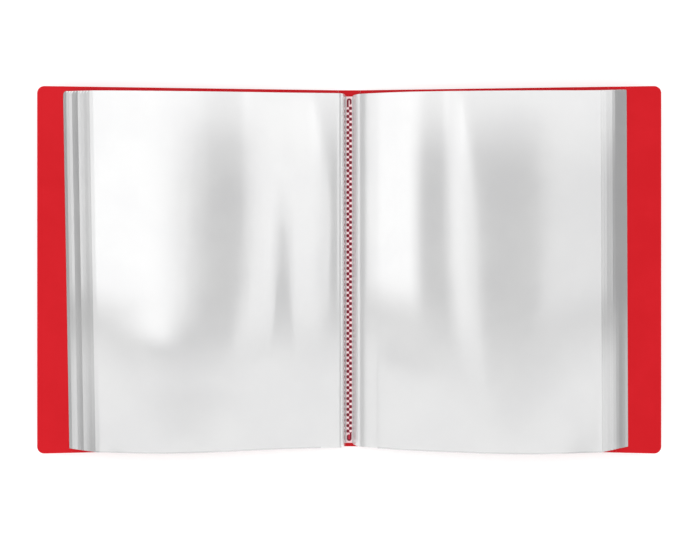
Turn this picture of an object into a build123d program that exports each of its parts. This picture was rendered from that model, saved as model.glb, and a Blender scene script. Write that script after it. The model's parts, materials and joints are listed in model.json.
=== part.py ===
# Clear pocket display book, lying open at its middle spread.
# Millimetres. X runs across the spread, Y towards the head of the page, Z up from the table.
import os
from math import asin, atan2, cos, degrees, hypot, radians, sin, tan

from build123d import *

os.makedirs("parts", exist_ok=True)

# Cover, one polypropylene sheet that is creased on both sides of the spine
cover_height = 310.0
cover_width = 254.0
sheet_thickness = 0.8
corner_radius = 6.0
spine_width = 20.0
cover_lift = 5.0
crease_clearance = 0.1

# Pocket leaves, as many on the left as on the right
leaf_count = 10
film_thickness = 0.08
pocket_gap = 0.2
inner_seam = 2.0
outer_seam = 2.5
bottom_seam = 3.0
head_margin = 5.0
foot_margin = 3.0
fore_margin = 26.0

# Where each leaf folds out of the weld, and where it bends over to lie on the pile
fold_spacing = 0.3
fold_seat = 0.35
fold_clearance = 0.15
bend_reach_low = 6.0
bend_reach_high = 14.0
bend_seat = 0.8
bend_rise = 16.2
bend_bead = 0.25
bead_clearance = 0.06

# How far a pocket bows up between its bend and its free edge
bow_low = 0.3
bow_high = 3.2

# How the free edges of the pile are stepped
edge_setback = 2.75
edge_seat = 0.7
edge_spacing = 1.15

# Weld that holds the leaves to the spine, with two staggered rows of pressed diamonds
# and a pressed loop that closes the pattern at each end
weld_width = 6.0
weld_end_margin = 1.0
weld_cap = 0.35
dot_pitch = 4.7
dot_size = 2.2
dot_column = 1.275
dot_depth = 0.45
loop_stroke = 1.2
loop_inset = 1.8
loop_room = 6.5
loop_gap = 3.5

# Sizes that follow from those above
crease_x = spine_width / 2
crease_z = sheet_thickness / 2
spine_panel_width = spine_width - 2 * (sheet_thickness / 2 + crease_clearance)
fore_edge_x = crease_x + cover_width * cos(radians(cover_lift))
leaf_head = cover_height / 2 - head_margin
leaf_foot = foot_margin - cover_height / 2
leaf_height = leaf_head - leaf_foot
leaf_middle = (leaf_head + leaf_foot) / 2
leaf_film = 2 * film_thickness
pocket_thickness = leaf_film + pocket_gap
weld_height = fold_seat + fold_spacing * (leaf_count - 1) + weld_cap
weld_length = leaf_height - 2 * weld_end_margin


def inner_face_height(x):
    return sheet_thickness + (x - crease_x) * tan(radians(cover_lift))


def between(low, high, share):
    return low + (high - low) * share


# A leaf is a straight strip and a bowed pocket, given here for the right side as X, Z points:
# the fold at the weld, the bend over the pile, and the free edge. Leaf 0 lies on the cover.
def leaf_points(level):
    share = level / (leaf_count - 1)
    fold_x = weld_width / 2 + fold_clearance + fold_spacing * (leaf_count - 1 - level)
    fold_z = sheet_thickness + fold_seat + fold_spacing * level
    bend_x = crease_x + between(bend_reach_low, bend_reach_high, share)
    lowest_bend_z = inner_face_height(crease_x + bend_reach_low) + bend_seat
    bend_z = between(lowest_bend_z, sheet_thickness + bend_rise, share)
    edge_x = fore_edge_x - fore_margin - edge_setback * level
    edge_z = inner_face_height(edge_x) + edge_seat + edge_spacing * level
    return (fold_x, fold_z), (bend_x, bend_z), (edge_x, edge_z)


def on_side(point, side):
    return (side * point[0], point[1])


def span(start, end):
    run = end[0] - start[0]
    rise = end[1] - start[1]
    return hypot(run, rise), degrees(atan2(rise, run))


def along(start, end, distance):
    length, _ = span(start, end)
    return (between(start[0], end[0], distance / length), between(start[1], end[1], distance / length))


# Points of the bow that rises over the line from start to end, by the distance along the bow
def bow_radius(start, end, rise):
    length, _ = span(start, end)
    return (length * length / 4 + rise * rise) / (2 * rise)


def bow_length(start, end, rise):
    radius = bow_radius(start, end, rise)
    length, _ = span(start, end)
    return 2 * radius * asin(length / (2 * radius))


def bow_point(start, end, rise, distance):
    radius = bow_radius(start, end, rise)
    length, tilt = span(start, end)
    angle = (distance - bow_length(start, end, rise) / 2) / radius
    on_line = length / 2 + radius * sin(angle)
    above = radius * cos(angle) - (radius - rise)
    x = start[0] + on_line * cos(radians(tilt)) - above * sin(radians(tilt))
    z = start[1] + on_line * sin(radians(tilt)) + above * cos(radians(tilt))
    return (x, z)


def write(piece, label):
    piece.part.label = label
    export_step(piece.part, f"parts/{label}.step")


# Spine panel, the strip of the cover sheet that lies on the table
with BuildPart() as spine_panel:
    with BuildSketch(Plane.XY):
        Rectangle(spine_panel_width, cover_height)
    extrude(amount=sheet_thickness)
write(spine_panel, "spine_panel")


# Cover panels, each with a round bead on its crease and round outer corners
def make_cover(side, label):
    crease = on_side((crease_x, crease_z), side)
    rise = cover_width * sin(radians(cover_lift))
    fore_edge = on_side((fore_edge_x, crease_z + rise), side)
    length, tilt = span(crease, fore_edge)
    with BuildPart() as cover:
        with BuildSketch(Plane.XZ.offset(-cover_height / 2)):
            with Locations(along(crease, fore_edge, length / 2)):
                Rectangle(length, sheet_thickness, rotation=tilt)
            with Locations(crease):
                Circle(sheet_thickness / 2)
        extrude(amount=cover_height)
        fore_faces = cover.faces().sort_by(Axis.X)
        fore_face = fore_faces[-1] if side > 0 else fore_faces[0]
        fillet(fore_face.edges().sort_by(SortBy.LENGTH)[:2], radius=corner_radius)
    write(cover, label)


make_cover(-1, "front_cover")
make_cover(1, "back_cover")

# Weld, a bar with sloping sides that the leaves fold out of, step by step
weld_base = weld_width + 2 * fold_spacing * (leaf_count - 1)
weld_top = sheet_thickness + weld_height
loop_centre_y = weld_length / 2 - loop_inset - loop_stroke / 2 - dot_column
dots_in_column = int((weld_length - 2 * loop_inset - 2 * loop_room) / dot_pitch)
near_dot_y = dot_pitch * (dots_in_column - 1) / 2 + dot_pitch / 4
far_dot_y = near_dot_y - dot_pitch / 2
with BuildPart() as weld_seam:
    with BuildSketch(Plane.XZ.offset(-(leaf_middle + weld_length / 2))):
        with BuildLine():
            Polyline(
                (-weld_base / 2, sheet_thickness),
                (weld_base / 2, sheet_thickness),
                (weld_base / 2, sheet_thickness + fold_seat),
                (weld_width / 2, weld_top - weld_cap),
                (weld_width / 2, weld_top),
                (-weld_width / 2, weld_top),
                (-weld_width / 2, weld_top - weld_cap),
                (-weld_base / 2, sheet_thickness + fold_seat),
                close=True,
            )
        make_face()
    extrude(amount=weld_length)
    with BuildSketch(Plane.XY.offset(weld_top)):
        with Locations((-dot_column, leaf_middle - dot_pitch / 4), (dot_column, leaf_middle + dot_pitch / 4)):
            with GridLocations(dot_pitch, dot_pitch, 1, dots_in_column):
                Rectangle(dot_size, dot_size, rotation=45)
    extrude(amount=-dot_depth, mode=Mode.SUBTRACT)
    for turn in (0, 180):
        loop_plane = Plane((0, leaf_middle, weld_top)).rotated((0, 0, turn))
        with BuildSketch(loop_plane):
            with BuildLine():
                Line((-dot_column, far_dot_y + loop_gap), (-dot_column, loop_centre_y))
                CenterArc((0, loop_centre_y), dot_column, 180, -180)
                Line((dot_column, loop_centre_y), (dot_column, near_dot_y + loop_gap))
            trace(line_width=loop_stroke)
        extrude(amount=-dot_depth, mode=Mode.SUBTRACT)
write(weld_seam, "weld_seam")


# Gutter strip, the stretch of a leaf that rises from the weld, with a bead along its bend
def make_gutter_strip(side, level, label):
    fold, bend, _ = [on_side(point, side) for point in leaf_points(level)]
    length, tilt = span(fold, bend)
    with BuildPart() as strip:
        with BuildSketch(Plane.XZ.offset(-leaf_head)):
            with Locations(along(fold, bend, length / 2)):
                SlotCenterToCenter(length, leaf_film, rotation=tilt)
            with Locations(bend):
                Circle(bend_bead)
        extrude(amount=leaf_height)
    write(strip, label)


# Pocket, two films sealed along three sides and open at the head, hung on the bead of its strip
def make_pocket(side, level, label):
    _, bend, edge = leaf_points(level)
    rise = between(bow_low, bow_high, level / (leaf_count - 1))
    length = bow_length(bend, edge, rise)
    places = (0, inner_seam, length / 2, length - outer_seam, length)
    points = [on_side(bow_point(bend, edge, rise, place), side) for place in places]
    with BuildPart() as pocket:
        with BuildSketch(Plane.XZ.offset(-leaf_head)):
            with BuildLine():
                ThreePointArc(points[0], points[2], points[4])
            trace(line_width=pocket_thickness)
            with Locations(points[0]):
                Circle(bend_bead + bead_clearance, mode=Mode.SUBTRACT)
        extrude(amount=leaf_height)
        with BuildSketch(Plane.XZ.offset(-leaf_head)):
            with BuildLine():
                ThreePointArc(points[1], points[2], points[3])
            trace(line_width=pocket_gap)
        extrude(amount=leaf_height - bottom_seam, mode=Mode.SUBTRACT)
    write(pocket, label)


for side, side_name in ((-1, "left"), (1, "right")):
    for level in range(leaf_count):
        make_gutter_strip(side, level, f"{side_name}_gutter_strip_{level + 1:02d}")
        make_pocket(side, level, f"{side_name}_pocket_{level + 1:02d}")
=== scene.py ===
import json
import math

import bmesh
import bpy
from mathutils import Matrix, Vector


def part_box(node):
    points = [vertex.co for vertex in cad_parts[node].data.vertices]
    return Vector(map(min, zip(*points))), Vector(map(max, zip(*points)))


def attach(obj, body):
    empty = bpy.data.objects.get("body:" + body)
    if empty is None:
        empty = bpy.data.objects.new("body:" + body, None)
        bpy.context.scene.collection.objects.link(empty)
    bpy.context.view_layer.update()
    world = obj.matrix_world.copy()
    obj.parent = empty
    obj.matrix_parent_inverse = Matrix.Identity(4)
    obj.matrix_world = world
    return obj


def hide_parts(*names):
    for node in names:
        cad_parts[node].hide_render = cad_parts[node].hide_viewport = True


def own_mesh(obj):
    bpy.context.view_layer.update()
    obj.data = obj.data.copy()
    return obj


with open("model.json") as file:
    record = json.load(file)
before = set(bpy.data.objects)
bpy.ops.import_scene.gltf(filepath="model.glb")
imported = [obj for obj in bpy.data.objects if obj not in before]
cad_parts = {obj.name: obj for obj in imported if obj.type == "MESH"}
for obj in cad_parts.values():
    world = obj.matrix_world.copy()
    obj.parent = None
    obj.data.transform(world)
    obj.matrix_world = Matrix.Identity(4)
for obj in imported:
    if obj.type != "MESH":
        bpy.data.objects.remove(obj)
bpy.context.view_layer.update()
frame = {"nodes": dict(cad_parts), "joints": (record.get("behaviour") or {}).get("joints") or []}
print("frame loaded with", len(frame["nodes"]), "nodes")

mm = 0.001
sides = {"left": -1, "right": 1}
jointPlace = {joint["name"]: Vector(joint["pos_m"]) for joint in frame["joints"]}
leafCount = sum(name.startswith("left_pocket_") for name in frame["nodes"])


# Small helpers for materials and their nodes
def newMaterial(name):
    material = bpy.data.materials.new(name)
    material.use_nodes = True
    tree = material.node_tree
    return material, tree, tree.nodes["Principled BSDF"]


def dress(nodeName, material):
    mesh = frame["nodes"][nodeName].data
    mesh.materials.clear()
    mesh.materials.append(material)


def setSockets(node, **values):
    for socketName, value in values.items():
        node.inputs[socketName.replace("_", " ")].default_value = value


def addNode(tree, kind, **settings):
    node = tree.nodes.new(kind)
    for key, value in settings.items():
        setattr(node, key, value)
    return node


def feed(tree, socket, value):  # the value is another node's output or a constant
    if hasattr(value, "is_linked"):
        tree.links.new(value, socket)
    else:
        socket.default_value = value


def newGroup(name, inputs, outputs):
    group = bpy.data.node_groups.new(name, "ShaderNodeTree")
    for way, labels in (("INPUT", inputs), ("OUTPUT", outputs)):
        for label in labels:
            group.interface.new_socket(label, in_out=way, socket_type="NodeSocketFloat")
    return group, addNode(group, "NodeGroupInput"), addNode(group, "NodeGroupOutput")


def placeGroup(tree, group, **values):
    node = addNode(tree, "ShaderNodeGroup", node_tree=group)
    setSockets(node, **values)
    return node


def addMath(tree, operation, first, second=0.0):
    node = addNode(tree, "ShaderNodeMath", operation=operation)
    feed(tree, node.inputs[0], first)
    feed(tree, node.inputs[1], second)
    return node.outputs[0]


def addRange(tree, value, low, high, outLow=0.0, outHigh=1.0):
    node = addNode(tree, "ShaderNodeMapRange", interpolation_type="SMOOTHSTEP")
    setSockets(node, From_Min=low, From_Max=high, To_Min=outLow, To_Max=outHigh)
    feed(tree, node.inputs["Value"], value)
    return node.outputs[0]


def addColourMix(tree, mask, unmasked, masked):
    node = addNode(tree, "ShaderNodeMix", data_type="RGBA")
    feed(tree, node.inputs["Factor"], mask)
    for label, colour in (("A", unmasked), ("B", masked)):
        feed(tree, node.inputs[label], (*colour, 1) if isinstance(colour, tuple) else colour)
    return node.outputs["Result"]


def addBump(tree, shader, height, distance):
    bump = addNode(tree, "ShaderNodeBump")
    setSockets(bump, Strength=1.0, Distance=distance)
    feed(tree, bump.inputs["Height"], height)
    feed(tree, shader.inputs["Normal"], bump.outputs["Normal"])


# Shared surface effects: the detail and the roughness of each noise, and the span that most of it fills
noiseLook = {
    "Grain": (2.0, 0.6),
    "Clouds": (4.0, 0.6),
    "Draw": (3.0, 0.5),
    "Haze": (5.0, 0.55),
    "span": (0.3, 0.7),
}


def addNoise(tree, place, scale, kind):
    detail, roughness = noiseLook[kind]
    noise = addNode(tree, "ShaderNodeTexNoise")
    setSockets(noise, Detail=detail, Roughness=roughness)
    feed(tree, noise.inputs["Scale"], scale)
    feed(tree, noise.inputs["Vector"], place)
    return noise.outputs["Fac"]


def makeGrainGroup():
    group, entry, outlet = newGroup("sheetGrain", ("Grain Scale", "Cloud Scale"), ("Grain", "Clouds"))
    place = addNode(group, "ShaderNodeTexCoord").outputs["Object"]
    for label, scale in (("Grain", "Grain Scale"), ("Clouds", "Cloud Scale")):
        feed(group, outlet.inputs[label], addNoise(group, place, entry.outputs[scale], label))
    return group


def makeDrawGroup():
    group, entry, outlet = newGroup("filmDraw", ("Across", "Lengthwise", "Haze Scale"), ("Draw", "Haze"))
    place = addNode(group, "ShaderNodeTexCoord").outputs["Object"]
    stretch = addNode(group, "ShaderNodeCombineXYZ")
    feed(group, stretch.inputs["X"], entry.outputs["Across"])
    feed(group, stretch.inputs["Y"], entry.outputs["Lengthwise"])
    stretched = addNode(group, "ShaderNodeVectorMath", operation="MULTIPLY")
    feed(group, stretched.inputs[0], place)
    feed(group, stretched.inputs[1], stretch.outputs["Vector"])
    drawn = addNoise(group, stretched.outputs["Vector"], 1.0, "Draw")  # the stretch is its scale
    haze = addNoise(group, place, entry.outputs["Haze Scale"], "Haze")
    feed(group, outlet.inputs["Draw"], drawn)
    feed(group, outlet.inputs["Haze"], haze)
    return group


sheetGrain = makeGrainGroup()
filmDraw = makeDrawGroup()

# Cover sheet, red polypropylene with a fine matte grain
coverLook = {
    "shade": (0.650, 0.004, 0.011),
    "tint": (0.685, 0.006, 0.014),
    "tintSpan": (0.35, 0.65),
    "grainScale": 1500.0,
    "cloudScale": 16.0,
    "grainDepth": 0.02 * mm,
    "roughness": (0.46, 0.58),
    "shine": 0.15,
}


def makeCoverMaterial():
    material, tree, shader = newMaterial("coverRed")
    scales = {"Grain_Scale": coverLook["grainScale"], "Cloud_Scale": coverLook["cloudScale"]}
    grain = placeGroup(tree, sheetGrain, **scales)
    mask = addRange(tree, grain.outputs["Clouds"], *coverLook["tintSpan"])
    colour = addColourMix(tree, mask, coverLook["shade"], coverLook["tint"])
    feed(tree, shader.inputs["Base Color"], colour)
    rough = addRange(tree, grain.outputs["Grain"], *noiseLook["span"], *coverLook["roughness"])
    feed(tree, shader.inputs["Roughness"], rough)
    addBump(tree, shader, grain.outputs["Grain"], coverLook["grainDepth"])
    setSockets(shader, Specular_IOR_Level=coverLook["shine"])
    return material


coverRed = makeCoverMaterial()
for nodeName in ("front_cover", "back_cover", "spine_panel"):
    dress(nodeName, coverRed)
print("cover sheet dressed")

# Weld, clear film on top of the bar and dark red where it is pressed into the cover.
# Between the pressed diamonds the film is pink, with pale spots of painted highlight on the film that was
# not pressed, and along both sides of the bar a grey is painted for the shade in the gutter.
weldLook = {
    # painted highlight: the pale spots between the pressed diamonds
    "spot": (0.98, 0.90, 0.90),
    "lattice": (0.95, 0.40, 0.47),
    "press": (0.250, 0.006, 0.024),
    # painted shade: the grey along both sides of the bar
    "gutterShade": (0.66, 0.68, 0.68),
    "gutterShadeFade": (1.75, 2.15),  # in dot columns from the middle
    "pressDepth": 0.45 * mm,
    "pressFade": 0.02 * mm,
    "dotPitch": 4.7 * mm,
    "dotColumn": 1.275 * mm,
    "dotReach": 141.5 * mm,
    "rowFade": 0.4 * mm,
    "columnFade": (2.0, 1.6),  # in dot columns from the middle
    "plain": -0.45,  # stands for the dots where the pattern has ended
    "highlightSpan": (-0.70, -0.15),  # where the pale spots of painted highlight fade out, as values of the dots
    "pressSpan": (0.06, -0.10),  # where the press fades out, in the same way
    "loopStart": 142.15 * mm,  # from the middle of the bar
    "loopSlant": 0.92,  # what the start gains for each distance across
    "loopFade": 0.2 * mm,
    "loopCentre": 146.3 * mm,  # of the round end
    "loopStroke": (0.95 * mm, 0.70 * mm),  # half the stroke, where it fades out and where it is full
    "stain": (0.70, 0.03, 0.07),  # inside the loop at the foot
    "stainAside": (0.9 * mm, 0.54 * mm),
    "stainFoot": 2.2 * mm,
    "stainHead": 7.5 * mm,
    "stainFade": 0.5 * mm,
    "grainScale": 900.0,
    "cloudScale": 120.0,
    "waveDepth": 0.05 * mm,
    "roughness": (0.20, 0.34),
    "shine": 0.25,
}


# Two staggered columns, from 1 in the middle of a pressed diamond to -1 between two of them
def addDots(tree, across, aside, offset, fromMiddle):
    column = weldLook["dotColumn"]
    columns = addMath(tree, "SINE", addMath(tree, "MULTIPLY", across, -math.pi / 2 / column))
    turns = addMath(tree, "MULTIPLY", offset, 2 * math.pi / weldLook["dotPitch"])
    rows = addMath(tree, "COSINE", addMath(tree, "SUBTRACT", turns, math.pi / 2))
    dots = addMath(tree, "SUBTRACT", addMath(tree, "MULTIPLY", columns, rows), weldLook["plain"])
    inColumns = addRange(tree, aside, *[share * column for share in weldLook["columnFade"]])
    reach, fade = weldLook["dotReach"], weldLook["rowFade"]
    inRows = addRange(tree, fromMiddle, reach + fade, reach - fade)
    inPattern = addMath(tree, "MULTIPLY", inColumns, inRows)
    return addMath(tree, "ADD", addMath(tree, "MULTIPLY", dots, inPattern), weldLook["plain"])


# Mask of the loops that close the pattern, a little wider than they are pressed
def addLoops(tree, across, aside, offset, fromMiddle):
    towardsEnd = addMath(tree, "MULTIPLY", across, addMath(tree, "SIGN", offset))
    slant = addMath(tree, "MULTIPLY", towardsEnd, weldLook["loopSlant"])
    start = addMath(tree, "ADD", slant, weldLook["loopStart"])
    begun = addMath(tree, "SUBTRACT", fromMiddle, start)
    beyond = addMath(tree, "MAXIMUM", addMath(tree, "SUBTRACT", fromMiddle, weldLook["loopCentre"]), 0)
    squares = [addMath(tree, "POWER", distance, 2) for distance in (aside, beyond)]
    fromCentre = addMath(tree, "SQRT", addMath(tree, "ADD", *squares))
    fromLine = addMath(tree, "SUBTRACT", fromCentre, weldLook["dotColumn"])
    inStroke = addRange(tree, addMath(tree, "ABSOLUTE", fromLine), *weldLook["loopStroke"])
    hasBegun = addRange(tree, begun, -weldLook["loopFade"], weldLook["loopFade"])
    return addMath(tree, "MULTIPLY", inStroke, hasBegun)


# Mask of the cover's red that shows inside the loop at the foot
def addStain(tree, aside, lengthwise, footEnd):
    inside = addRange(tree, aside, *weldLook["stainAside"])
    foot, head = footEnd + weldLook["stainFoot"], footEnd + weldLook["stainHead"]
    above = addRange(tree, lengthwise, foot, foot + weldLook["stainFade"])
    below = addRange(tree, lengthwise, head, head - weldLook["stainFade"])
    return addMath(tree, "MULTIPLY", inside, addMath(tree, "MULTIPLY", above, below))


def makeWeldMaterial():
    material, tree, shader = newMaterial("weldPressed")
    low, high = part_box("weld_seam")
    place = addNode(tree, "ShaderNodeTexCoord")
    split = addNode(tree, "ShaderNodeSeparateXYZ")
    feed(tree, split.inputs["Vector"], place.outputs["Object"])
    across, lengthwise, height = split.outputs
    aside = addMath(tree, "ABSOLUTE", across)
    offset = addMath(tree, "SUBTRACT", lengthwise, (low.y + high.y) / 2)
    fromMiddle = addMath(tree, "ABSOLUTE", offset)
    pressFloor = high.z - weldLook["pressDepth"]
    onTop = addRange(tree, height, pressFloor + weldLook["pressFade"], high.z - weldLook["pressFade"])
    dots = addDots(tree, across, aside, offset, fromMiddle)
    loops = addLoops(tree, across, aside, offset, fromMiddle)
    unpressed = addMath(tree, "MULTIPLY", onTop, addRange(tree, dots, *weldLook["pressSpan"]))
    unpressed = addMath(tree, "MULTIPLY", unpressed, addMath(tree, "SUBTRACT", 1, loops))
    stain = addMath(tree, "MULTIPLY", onTop, addStain(tree, aside, lengthwise, low.y))
    # mask of the painted shade along both sides of the bar
    gutterShade = addRange(tree, aside, *[share * weldLook["dotColumn"] for share in weldLook["gutterShadeFade"]])
    # pale spots of painted highlight between the diamonds, pink along the lattice
    bonded = addRange(tree, dots, *weldLook["highlightSpan"])
    colour = addColourMix(tree, bonded, weldLook["spot"], weldLook["lattice"])
    colour = addColourMix(tree, unpressed, weldLook["press"], colour)
    colour = addColourMix(tree, stain, colour, weldLook["stain"])
    colour = addColourMix(tree, gutterShade, colour, weldLook["gutterShade"])
    feed(tree, shader.inputs["Base Color"], colour)
    scales = {"Grain_Scale": weldLook["grainScale"], "Cloud_Scale": weldLook["cloudScale"]}
    clouds = placeGroup(tree, sheetGrain, **scales).outputs["Clouds"]
    rough = addRange(tree, clouds, *noiseLook["span"], *weldLook["roughness"])
    feed(tree, shader.inputs["Roughness"], rough)
    addBump(tree, shader, clouds, weldLook["waveDepth"])
    setSockets(shader, Specular_IOR_Level=weldLook["shine"])
    return material


dress("weld_seam", makeWeldMaterial())
print("weld dressed")

# Pocket film, clear polypropylene. A pile of it reads silvery, because every layer mirrors a little.
filmLook = {
    "shade": (0.95, 0.95, 0.955),
    "tint": (0.985, 0.985, 0.985),
    "solid": 0.85,
    "mirror": 0.34,
    "seamMirror": 0.60,
    "roughness": (0.07, 0.10),
    "hazeScale": 22.0,
    "drawAcross": 35.0,
    "drawLengthwise": 7.0,
    "drawDepth": 0.06 * mm,
}


def makeFilmMaterial(name, mirror):
    material, tree, shader = newMaterial(name)
    scales = {"Across": filmLook["drawAcross"], "Lengthwise": filmLook["drawLengthwise"]}
    draw = placeGroup(tree, filmDraw, Haze_Scale=filmLook["hazeScale"], **scales)
    haze = draw.outputs["Haze"]
    mask = addRange(tree, haze, *noiseLook["span"])
    colour = addColourMix(tree, mask, filmLook["shade"], filmLook["tint"])
    feed(tree, shader.inputs["Base Color"], colour)
    rough = addRange(tree, haze, *noiseLook["span"], *filmLook["roughness"])
    feed(tree, shader.inputs["Roughness"], rough)
    addBump(tree, shader, draw.outputs["Draw"], filmLook["drawDepth"])
    setSockets(shader, Alpha=filmLook["solid"], Metallic=mirror)
    return material


clearFilm = makeFilmMaterial("clearFilm", filmLook["mirror"])
sealedFilm = makeFilmMaterial("sealedFilm", filmLook["seamMirror"])
print("film mixed")

# Pocket leaves. Each is a strip that rises from the weld and a pocket that bends over onto the pile.
leafShape = {
    "columns": 84,
    "rows": 40,
    "stripColumns": 20,
    "pocketThickness": 0.36 * mm,
    "stripThickness": 0.16 * mm,
    "filmThickness": 0.075 * mm,
    "seamShare": 0.45,  # thickness of a seam, as a share of the pocket's
    "seamRamp": 6 * mm,  # how soon the pocket opens beside a seam
    "innerRamp": 24 * mm,  # the same beside the seam at the bend
    "seamGuard": 0.4 * mm,  # a second cut beside the outer seam
    "innerSeam": 2 * mm,
    "outerSeam": 2.5 * mm,
    "footSeam": 3 * mm,
    "sealLine": 1.2 * mm,  # the silvery line along the foot
    "cornerSegments": 4,
    "cornerCatch": 0.01 * mm,  # how near to the corner its vertex is looked for
    "ridgeCatch": 0.6,  # the same for a ridge with no flat crest, in columns
    "mouthFacing": 0.99,  # how squarely the faces of a mouth face the head
    "mouthShare": 0.8,  # their least edge, as a share of the pocket's thickness
    "archSkew": 1.4,  # moves the arch at the foot towards the free edge
    "archPower": 1.5,  # softens the ends of that arch
    "footPower": 4,  # how fast it dies away from the foot
    "bendPower": 3,  # how sharply the two straight runs of a strip meet
    "curlReach": 4.5 * mm,  # the stretch of the free edge that curls
    "curlRamp": 2 * mm,  # the part of it that bends
    "edgeLift": 0.2 * mm,  # what the lowest leaf gains at its free edge
    "leastLift": 0.001 * mm,  # keeps the lift of a strip above zero
    "flatShare": 0.04,  # the share of its height that a flattened leaf keeps
    "smoothAngle": 50,  # degrees
}

# How the two piles differ
pileShape = {
    "left": {
        "waves": (1.55 * mm, -0.57 * mm, -0.05 * mm, -0.20 * mm),  # of the top leaf, a half wave more each
        "footArch": 6 * mm,  # what the top leaf gains at the foot
        "bendReach": 12 * mm,  # how far the bend rounds over
        "bendShare": 0.03,  # the share of the bend that lies in the pocket
        "foldShare": 1.75,  # the share of it that the fold at the weld takes
        "fusedReach": 9 * mm,  # how far the strips are fused at the weld
        "reach": 2.0 * mm,  # how much further the free edges reach
        "lean": 2.6 * mm,  # how much further still at the head, and less at the foot
        "push": 0.8 * mm,  # how far the lowest leaf is pushed towards the head
        "headRound": 4 * mm,
        "footRound": 0.8 * mm,
        "curl": (-10.5, -8.3, -7.5, -8.8, -9.0, -6.5, -6.5, -6.5, -5.8, -4.6),  # degrees, from the cover up
    },
    "right": {
        "waves": (3.87 * mm, -0.04 * mm, 0.21 * mm),
        "footArch": 5.5 * mm,
        "bendReach": 45 * mm,
        "bendShare": 0.30,
        "foldShare": 1.10,
        "fusedReach": 1 * mm,
        "reach": -2.0 * mm,
        "lean": -0.6 * mm,
        "push": 2.2 * mm,
        "headRound": 0.8 * mm,
        "footRound": 0.8 * mm,
        "curl": (-10, -11, -11, -9, -6.8, -4.8, -4.4, -2.6, -1.4, 0),
    },
}

# Soft ridges of the top leaf. Across, foot and head are shares of the pocket's width and height,
# and crest is half the width of a ridge's flat top.
softRidges = {
    "left": (
        {"across": 0.73, "foot": 0.02, "head": 0.30, "crest": 0, "slope": 42 * mm, "rise": 0.5 * mm},
        {"across": 0.48, "foot": 0.28, "head": 0.62, "crest": 49 * mm, "slope": 22 * mm, "rise": 0.18 * mm},
        {"across": 0.48, "foot": 0.25, "head": 0.69, "crest": 49 * mm, "slope": 22 * mm, "rise": 0.18 * mm},
        {"across": 0.48, "foot": 0.22, "head": 0.76, "crest": 49 * mm, "slope": 22 * mm, "rise": 0.18 * mm},
    ),
    "right": (
        {"across": 0.11, "foot": 0.02, "head": 0.20, "crest": 0, "slope": 45 * mm, "rise": 0.8 * mm},
    ),
}


def activate(piece):
    bpy.ops.object.select_all(action="DESELECT")
    piece.select_set(True)
    bpy.context.view_layer.objects.active = piece


# A flat sheet with X from its first edge, cut into columns and rows
def addSheet(name, length, foot, head, columns):
    bpy.ops.object.select_all(action="DESELECT")
    bpy.ops.mesh.primitive_grid_add(x_subdivisions=columns, y_subdivisions=leafShape["rows"], size=1)
    sheet = bpy.context.object
    sheet.name = name
    sheet.data.name = name
    bpy.ops.object.mode_set(mode="EDIT")
    bpy.ops.transform.resize(value=(length, head - foot, 1))
    bpy.ops.transform.translate(value=(length / 2, (head + foot) / 2, 0))
    bpy.ops.object.mode_set(mode="OBJECT")
    sheet.data.materials.append(clearFilm)
    sheet.data.materials.append(sealedFilm)
    return sheet


def sealFaces(sheet, isSealed):
    for face in sheet.data.polygons:
        if isSealed(face.center):
            face.material_index = 1  # sealedFilm


def cutSeams(sheet, length, foot):
    acrossSheet = (1, 0, 0)
    alongSheet = (0, 1, 0)
    outer = length - leafShape["outerSeam"]
    cuts = (
        ((leafShape["innerSeam"], 0, 0), acrossSheet),
        ((outer, 0, 0), acrossSheet),
        ((outer - leafShape["seamGuard"], 0, 0), acrossSheet),
        ((0, foot + leafShape["footSeam"], 0), alongSheet),
        ((0, foot + leafShape["sealLine"], 0), alongSheet),
    )
    bpy.ops.object.mode_set(mode="EDIT")
    for point, normal in cuts:
        bpy.ops.mesh.select_all(action="SELECT")
        bpy.ops.mesh.bisect(plane_co=point, plane_no=normal)
    bpy.ops.object.mode_set(mode="OBJECT")


# The pocket is thin at its seams, and opens to its full thickness beside them
def weighThickness(sheet, length, foot):
    thickness = sheet.vertex_groups.new(name="thickness")
    for vertex in sheet.data.vertices:
        inside = min(
            (vertex.co.x - leafShape["innerSeam"]) / leafShape["innerRamp"],
            (length - leafShape["outerSeam"] - vertex.co.x) / leafShape["seamRamp"],
            (vertex.co.y - foot - leafShape["footSeam"]) / leafShape["seamRamp"],
        )
        opening = max(0, min(1, inside))
        weight = leafShape["seamShare"] + (1 - leafShape["seamShare"]) * opening
        thickness.add([vertex.index], weight, "REPLACE")


def selectVertices(sheet, isWanted):
    bpy.ops.object.mode_set(mode="EDIT")
    bpy.ops.mesh.select_mode(type="VERT")
    bpy.ops.mesh.select_all(action="DESELECT")
    form = bmesh.from_edit_mesh(sheet.data)
    for vertex in form.verts:
        vertex.select = isWanted(vertex.co)
    form.select_flush_mode()
    bmesh.update_edit_mesh(sheet.data)


def roundCorner(sheet, length, end, radius):
    catch = leafShape["cornerCatch"]
    selectVertices(sheet, lambda place: abs(place.x - length) < catch and abs(place.y - end) < catch)
    bpy.ops.mesh.bevel(affect="VERTICES", offset=radius, segments=leafShape["cornerSegments"])
    bpy.ops.object.mode_set(mode="OBJECT")


def pullRidge(sheet, length, foot, head, ridge, share):
    low = foot + (head - foot) * ridge["foot"]
    high = foot + (head - foot) * ridge["head"]
    middle = ridge["across"] * length
    catch = max(leafShape["ridgeCatch"] * length / leafShape["columns"], ridge["crest"])
    selectVertices(sheet, lambda place: abs(place.x - middle) < catch and low < place.y < high)
    bpy.ops.transform.translate(
        value=(0, 0, ridge["rise"] * share),
        use_proportional_edit=True,
        proportional_edit_falloff="SMOOTH",
        proportional_size=ridge["slope"],
    )
    bpy.ops.object.mode_set(mode="OBJECT")


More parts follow.
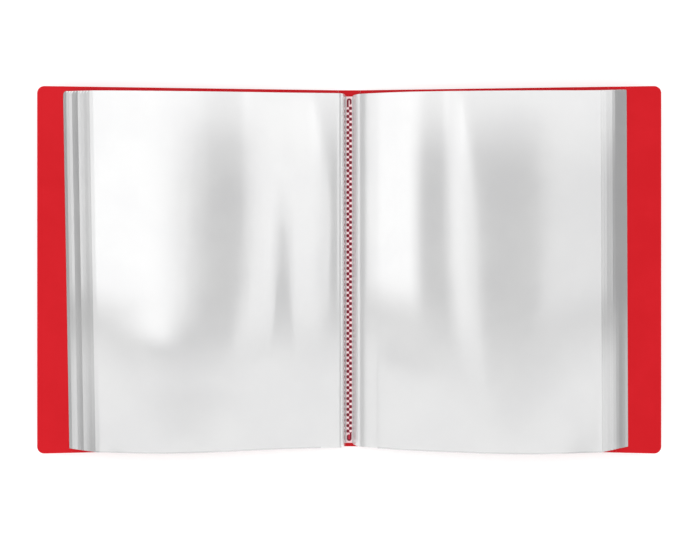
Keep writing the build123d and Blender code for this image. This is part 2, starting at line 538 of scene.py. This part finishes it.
# Lays the flat sheet on the line from start to end, and gives the direction that it rises in
def layOnLine(sheet, start, end, lift, slide):
    chord = (end - start).normalized()
    up = Vector((0, 1, 0)).cross(chord)
    if up.z < 0:
        up.negate()
    for vertex in sheet.data.vertices:
        along, across, rise = vertex.co
        further, headwards = slide(along, across)
        vertex.co = start + chord * (along + further) + up * (rise + lift(along, across))
        vertex.co.y = across + headwards
    return up


def thicken(sheet, thickness):
    activate(sheet)
    wall = sheet.modifiers.new("wall", "SOLIDIFY")
    wall.thickness = thickness
    wall.offset = 0
    if sheet.vertex_groups:
        wall.vertex_group = "thickness"
    bpy.ops.object.modifier_apply(modifier=wall.name)
    bpy.ops.object.mode_set(mode="EDIT")
    bpy.ops.mesh.select_all(action="SELECT")
    bpy.ops.mesh.normals_make_consistent(inside=False)
    bpy.ops.object.mode_set(mode="OBJECT")


# The mouth is the rim at the head between the side seams; what is left gets the film's own thickness
def openMouth(sheet):
    leastEdge = leafShape["mouthShare"] * leafShape["pocketThickness"]
    bpy.ops.object.mode_set(mode="EDIT")
    bpy.ops.mesh.select_mode(type="FACE")
    bpy.ops.mesh.select_all(action="DESELECT")
    form = bmesh.from_edit_mesh(sheet.data)
    for face in form.faces:
        shortest = min(edge.calc_length() for edge in face.edges)
        face.select = face.normal.y > leafShape["mouthFacing"] and shortest > leastEdge
    bmesh.update_edit_mesh(sheet.data)
    bpy.ops.mesh.delete(type="FACE")
    bpy.ops.object.mode_set(mode="OBJECT")
    film = sheet.modifiers.new("film", "SOLIDIFY")
    film.thickness = leafShape["filmThickness"]
    film.offset = -1
    bpy.ops.object.modifier_apply(modifier=film.name)


def finishFilm(sheet, nodeName):
    activate(sheet)
    bpy.ops.object.shade_smooth_by_angle(angle=math.radians(leafShape["smoothAngle"]))
    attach(sheet, nodeName)
    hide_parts(nodeName)
    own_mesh(sheet)


def slopeOf(start, end):
    return math.atan2(end.z - start.z, abs(end.x - start.x))


# Where a leaf lies: its fold at the weld, its bend over the pile and its free edge.
# Share is 0 on the cover and 1 on top of the pile, and turn is the angle between strip and pocket.
def placeLeaf(sideName, level):
    pocketNode = f"{sideName}_pocket_{level:02d}"
    stripNode = f"{sideName}_gutter_strip_{level:02d}"
    fold = jointPlace[stripNode + "_fold"]
    bend = jointPlace[pocketNode + "_bend"]
    low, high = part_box(pocketNode)
    edgeX = high.x if sides[sideName] > 0 else low.x
    edge = Vector((edgeX, 0, high.z - leafShape["pocketThickness"] / 2))
    return {
        "pocketNode": pocketNode,
        "stripNode": stripNode,
        "fold": fold,
        "bend": bend,
        "edge": edge,
        "foot": low.y,
        "head": high.y,
        "share": (level - 1) / (leafCount - 1),
        "turn": slopeOf(fold, bend) - slopeOf(bend, edge),
        "pocketLength": (edge - bend).length,
        "stripLength": (bend - fold).length,
    }


def makePocket(sideName, level, leaf):
    pile = pileShape[sideName]
    length, foot, head, share = [leaf[key] for key in ("pocketLength", "foot", "head", "share")]
    curl = math.tan(math.radians(pile["curl"][level - 1]))
    bendSlope = math.tan(leaf["turn"] * pile["bendShare"])

    def headShare(across):
        return (2 * across - head - foot) / (head - foot)

    def lift(along, across):
        part = min(1, max(0, along) / length)
        nearFoot = ((1 - headShare(across)) / 2) ** leafShape["footPower"]
        arch = max(0, math.sin(math.pi * part ** leafShape["archSkew"])) ** leafShape["archPower"]
        bow = pile["footArch"] * nearFoot * arch
        for count, height in enumerate(pile["waves"], 1):
            bow += height * math.sin(count * math.pi * part)
        over = max(0, along - length + leafShape["curlReach"])
        ramp = min(over, leafShape["curlRamp"])
        curled = curl * ramp * (over - ramp / 2) / leafShape["curlRamp"]
        rounding = bendSlope * along * math.exp(-along / pile["bendReach"])
        clear = leafShape["edgeLift"] * (1 - share) * part
        return bow * share + rounding + clear + curled

    def slide(along, across):
        part = along / length
        further = pile["reach"] + pile["lean"] * headShare(across)
        return further * part, pile["push"] * (1 - share) * part

    def isSealed(place):
        atEdge = place.x > length - leafShape["outerSeam"]
        atFoot = place.y < foot + leafShape["sealLine"]
        return atFoot or (atEdge and level < leafCount)

    pocket = addSheet(f"{sideName}Pocket{level:02d}", length, foot, head, leafShape["columns"])
    cutSeams(pocket, length, foot)
    sealFaces(pocket, isSealed)
    weighThickness(pocket, length, foot)
    for ridge in softRidges[sideName]:
        pullRidge(pocket, length, foot, head, ridge, share)
    roundCorner(pocket, length, head, pile["headRound"])
    roundCorner(pocket, length, foot, pile["footRound"])
    up = layOnLine(pocket, leaf["bend"], leaf["edge"], lift, slide)
    thicken(pocket, leafShape["pocketThickness"])
    openMouth(pocket)
    finishFilm(pocket, leaf["pocketNode"])


def makeStrip(sideName, level, leaf):
    pile = pileShape[sideName]
    length, turn, power = leaf["stripLength"], leaf["turn"], leafShape["bendPower"]
    waveSlope = sum(count * height for count, height in enumerate(pile["waves"], 1))
    waveSlope *= leaf["share"] * math.pi / leaf["pocketLength"]
    pocketStart = math.atan(math.tan(turn * pile["bendShare"]) + waveSlope)

    def lift(along, across):
        leaving = max(math.tan(turn * pile["foldShare"]) * along, leafShape["leastLift"])
        arriving = max(math.tan(turn - pocketStart) * (length - along), leafShape["leastLift"])
        return (leaving ** -power + arriving ** -power) ** (-1 / power)

    def slide(along, across):
        return 0, 0

    name = f"{sideName}Strip{level:02d}"
    strip = addSheet(name, length, leaf["foot"], leaf["head"], leafShape["stripColumns"])
    sealFaces(strip, lambda place: place.x < pile["fusedReach"])
    up = layOnLine(strip, leaf["fold"], leaf["bend"], lift, slide)
    thicken(strip, leafShape["stripThickness"])
    finishFilm(strip, leaf["stripNode"])


for sideName in sides:
    for level in range(1, leafCount + 1):
        leaf = placeLeaf(sideName, level)
        makePocket(sideName, level, leaf)
        makeStrip(sideName, level, leaf)
    print(sideName, "leaves made:", leafCount)

# Studio: pale floor, soft panels above, and a white surround
studio = {
    "panelHeight": 1.6,
    "panelStep": 0.005,  # each panel hangs a little above the one before it
    "surround": 0.80,  # the light that it sheds
    "ceiling": 0.06,  # how bright it is seen overhead, with 1 at the walls
    "wallToCeiling": (0.34, 0.68),  # sines of the angles between which it darkens
    "floorSize": 8,
    "floorDrop": 0.2 * mm,
    "floorTone": (0.82, 0.82, 0.82),
    "floorRoughness": 0.9,
    "floorShine": 0.1,
    "floorGlow": 0.34,
}

# Soft panels over the book, in metres, each with the widths over which its edges fade:
# towards the left, the right, the foot and the head. Bow is how far the right edge draws in
# with the square of the distance from the middle, and rise how much brighter it gets towards the head.
# The core is a stretch that is brighter by its gain.
softPanels = {
    "panelLeft": {
        "across": (-1.15, -0.13),
        "lengthwise": (-0.26, 1.0),
        "fade": (0.30, 0.22, 0.14, 0.1),
        "level": 1.25,
    },
    "panelMiddle": {
        "across": (-0.025, 0.205),
        "lengthwise": (-0.36, 0.6),
        "fade": (0.10, 0.02, 0.18, 0.1),
        "level": 0.75,
        "bow": 0.56,
        "rise": 1.04,
        "core": {
            "across": (0.03, 0.14),
            "lengthwise": (-0.30, 0.40),
            "fade": (0.035, 0.025, 0.20, 0.45),
            "gain": 0.34,
        },
    },
    "panelRight": {
        "across": (0.40, 1.08),
        "lengthwise": (-0.26, 0.44),
        "fade": (0.20, 0.24, 0.14, 0.26),
        "level": 0.55,
    },
    "panelFoot": {
        "across": (-1.25, 1.33),
        "lengthwise": (-1.0, -0.12),
        "fade": (0.30, 0.42, 0.1, 0.30),
        "level": 0.68,
    },
    "headLeft": {
        "across": (-0.36, 0.05),
        "lengthwise": (0.16, 1.0),
        "fade": (0.20, 0.02, 0.28, 0.1),
        "level": 0.90,
    },
    "headRight": {
        "across": (0.09, 1.15),
        "lengthwise": (0.16, 1.0),
        "fade": (0.02, 0.25, 0.28, 0.1),
        "level": 0.90,
    },
}


# Mask of the stretch between two ends, which fades inwards from both
def addStretch(tree, place, ends, fades, drawnIn=0.0):
    rising = addRange(tree, place, ends[0], ends[0] + fades[0])
    falling = addRange(tree, addMath(tree, "ADD", place, drawnIn), ends[1] - fades[1], ends[1], 1, 0)
    return addMath(tree, "MULTIPLY", rising, falling)


def addArea(tree, across, lengthwise, area, drawnIn=0.0):
    inWidth = addStretch(tree, across, area["across"], area["fade"][:2], drawnIn)
    inLength = addStretch(tree, lengthwise, area["lengthwise"], area["fade"][2:])
    return addMath(tree, "MULTIPLY", inWidth, inLength)


def addGlow(tree, panel):
    left, right = panel["across"]
    foot, head = panel["lengthwise"]
    spot = addNode(tree, "ShaderNodeNewGeometry")
    split = addNode(tree, "ShaderNodeSeparateXYZ")
    feed(tree, split.inputs["Vector"], spot.outputs["Parametric"])
    across = addMath(tree, "ADD", addMath(tree, "MULTIPLY", split.outputs["X"], right - left), left)
    lengthwise = addMath(tree, "ADD", addMath(tree, "MULTIPLY", split.outputs["Y"], head - foot), foot)
    square = addMath(tree, "MULTIPLY", lengthwise, lengthwise)
    drawnIn = addMath(tree, "MULTIPLY", square, panel.get("bow", 0))
    bright = addMath(tree, "ADD", addMath(tree, "MULTIPLY", lengthwise, panel.get("rise", 0)), 1)
    if "core" in panel:
        core = addArea(tree, across, lengthwise, panel["core"])
        bright = addMath(tree, "ADD", bright, addMath(tree, "MULTIPLY", core, panel["core"]["gain"]))
    return addMath(tree, "MULTIPLY", addArea(tree, across, lengthwise, panel, drawnIn), bright)


def addPanel(name, panel, height):
    left, right = panel["across"]
    foot, head = panel["lengthwise"]
    place = ((left + right) / 2, (foot + head) / 2, height)
    bpy.ops.object.select_all(action="DESELECT")
    bpy.ops.object.light_add(type="AREA", location=place)
    light = bpy.context.object
    light.name = name
    light.data.shape = "RECTANGLE"
    light.data.size = right - left
    light.data.size_y = head - foot
    light.data.energy = panel["level"] * math.pi * (right - left) * (head - foot)
    light.data.use_nodes = True
    tree = light.data.node_tree
    feed(tree, tree.nodes["Emission"].inputs["Strength"], addGlow(tree, panel))


for count, name in enumerate(softPanels):
    addPanel(name, softPanels[name], studio["panelHeight"] + count * studio["panelStep"])


# One for rays that are seen, straight, mirrored or through a sheet, and zero for those that only light
def seenRays(tree):
    path = addNode(tree, "ShaderNodeLightPath")
    seen = addMath(tree, "MAXIMUM", path.outputs["Is Camera Ray"], path.outputs["Is Glossy Ray"])
    return addMath(tree, "MAXIMUM", seen, path.outputs["Is Transmission Ray"])


def makeSurround():
    world = bpy.data.worlds.new("surround")
    bpy.context.scene.world = world
    world.use_nodes = True
    tree = world.node_tree
    tree.nodes.clear()
    place = addNode(tree, "ShaderNodeTexCoord")
    split = addNode(tree, "ShaderNodeSeparateXYZ")
    feed(tree, split.inputs["Vector"], place.outputs["Generated"])
    level = addRange(tree, split.outputs["Z"], *studio["wallToCeiling"], 1.0, studio["ceiling"])
    mix = addNode(tree, "ShaderNodeMixShader")
    feed(tree, mix.inputs["Fac"], seenRays(tree))
    for socket, strength in ((mix.inputs[1], studio["surround"]), (mix.inputs[2], level)):
        background = addNode(tree, "ShaderNodeBackground")
        setSockets(background, Color=(1, 1, 1, 1))
        feed(tree, background.inputs["Strength"], strength)
        feed(tree, socket, background.outputs["Background"])
    output = addNode(tree, "ShaderNodeOutputWorld")
    feed(tree, output.inputs["Surface"], mix.outputs["Shader"])


makeSurround()


def makeFloor():
    bpy.ops.object.select_all(action="DESELECT")
    bpy.ops.mesh.primitive_plane_add(size=studio["floorSize"], location=(0, 0, -studio["floorDrop"]))
    floor = bpy.context.object
    floor.name = "floor"
    material, tree, shader = newMaterial("paleFloor")
    setSockets(shader, Base_Color=(*studio["floorTone"], 1), Emission_Color=(1, 1, 1, 1))
    setSockets(shader, Roughness=studio["floorRoughness"], Specular_IOR_Level=studio["floorShine"])
    glow = addMath(tree, "MULTIPLY", seenRays(tree), studio["floorGlow"])
    feed(tree, shader.inputs["Emission Strength"], glow)
    floor.data.materials.append(material)


makeFloor()

# Camera straight above, as the photograph was taken. Pixels are of the 699 by 533 photograph.
view = {
    "pictureWidth": 699,
    "pictureHeight": 533,
    "focalPixels": 791.5,
    "axisPixel": (349.2, 222.35),
    "distance": 0.690,
    "towardsHead": 0.040,
    "sensorWidth": 36,
    "nearest": 0.01,
}


def makeCamera():
    camera = bpy.data.cameras.new("overhead")
    holder = bpy.data.objects.new("overhead", camera)
    bpy.context.scene.collection.objects.link(holder)
    holder.location = (0, view["towardsHead"], view["distance"])
    camera.sensor_width = view["sensorWidth"]
    camera.lens = view["sensorWidth"] * view["focalPixels"] / view["pictureWidth"]
    axisX, axisY = view["axisPixel"]
    camera.shift_x = (view["pictureWidth"] / 2 - axisX) / view["pictureWidth"]
    camera.shift_y = (axisY - view["pictureHeight"] / 2) / view["pictureWidth"]
    camera.clip_start = view["nearest"]
    bpy.context.scene.camera = holder


makeCamera()
bpy.context.scene.view_settings.view_transform = "Standard"
print("studio ready")
